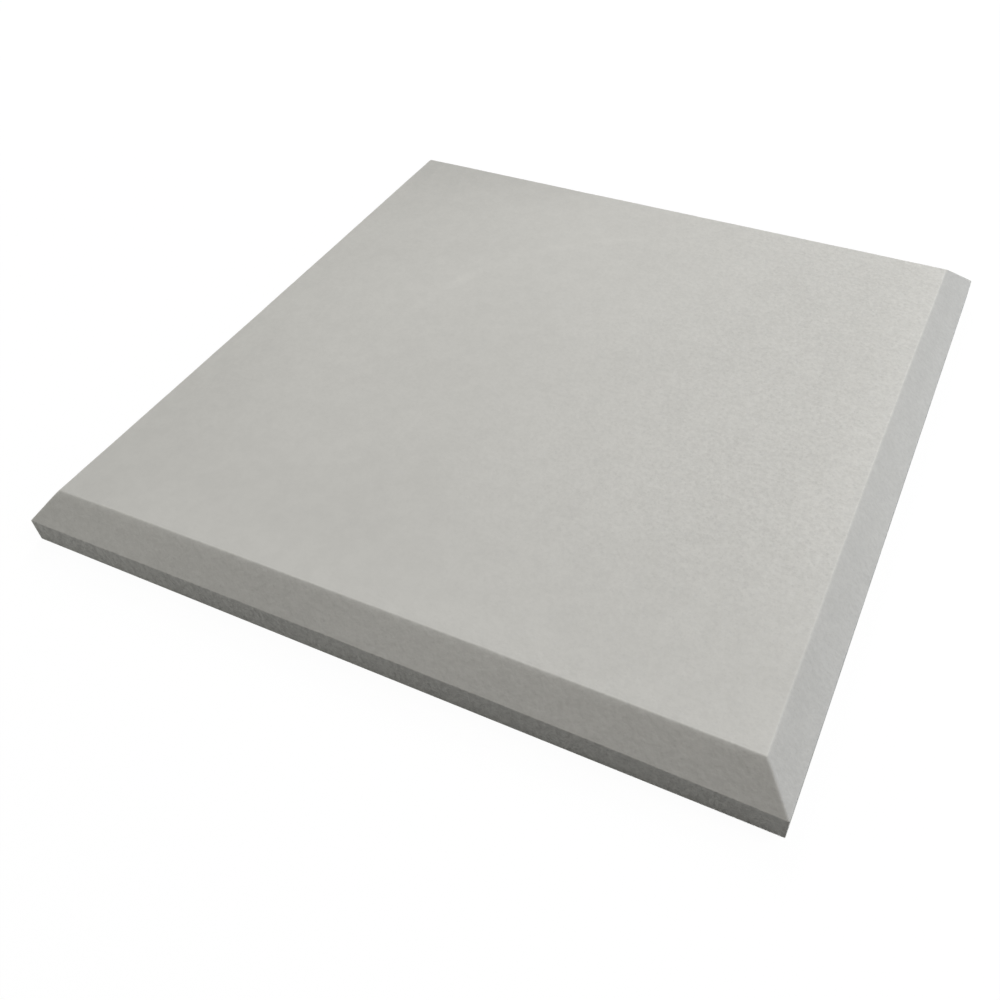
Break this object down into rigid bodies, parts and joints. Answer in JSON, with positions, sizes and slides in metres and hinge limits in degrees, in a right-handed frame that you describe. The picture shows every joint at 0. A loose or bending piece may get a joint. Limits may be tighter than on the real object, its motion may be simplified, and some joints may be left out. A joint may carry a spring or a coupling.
{
  "type": "acoustic foam panel",
  "caption": "Square flat-faced acoustic foam tile with a bevel all round and straight sides, self-adhesive back under a split release liner whose halves peel outward.",
  "frame": {"origin": "middle of the tile's back, on the outer surface of the release liner, which is the plane the tile lies on", "axes": "+Z out of the foam's face, away from the wall or floor; +X towards the right edge and -Y towards the front edge, as the picture shows them; the liner's slit runs along Y"},
  "size_m": [0.3, 0.3, 0.0213],
  "materials": {
    "foam": "matte",
    "adhesive": "satin",
    "liner": "satin"
  },
  "bodies": {
    "tile": {"foam_panel": "foam", "adhesive_film": "adhesive"},
    "left_liner": {"release_liner_left": "liner"},
    "right_liner": {"release_liner_right": "liner"}
  },
  "joints": [
    {"name": "left_liner_peel", "type": "hinge", "parent": "tile", "child": "left_liner", "pos_m": [-0.15, 0, 0.00013], "axis": [0, 1, 0], "range_deg": [0, 180]},
    {"name": "right_liner_peel", "type": "hinge", "parent": "tile", "child": "right_liner", "pos_m": [0.15, 0, 0.00013], "axis": [0, -1, 0], "range_deg": [0, 180]}
  ]
}
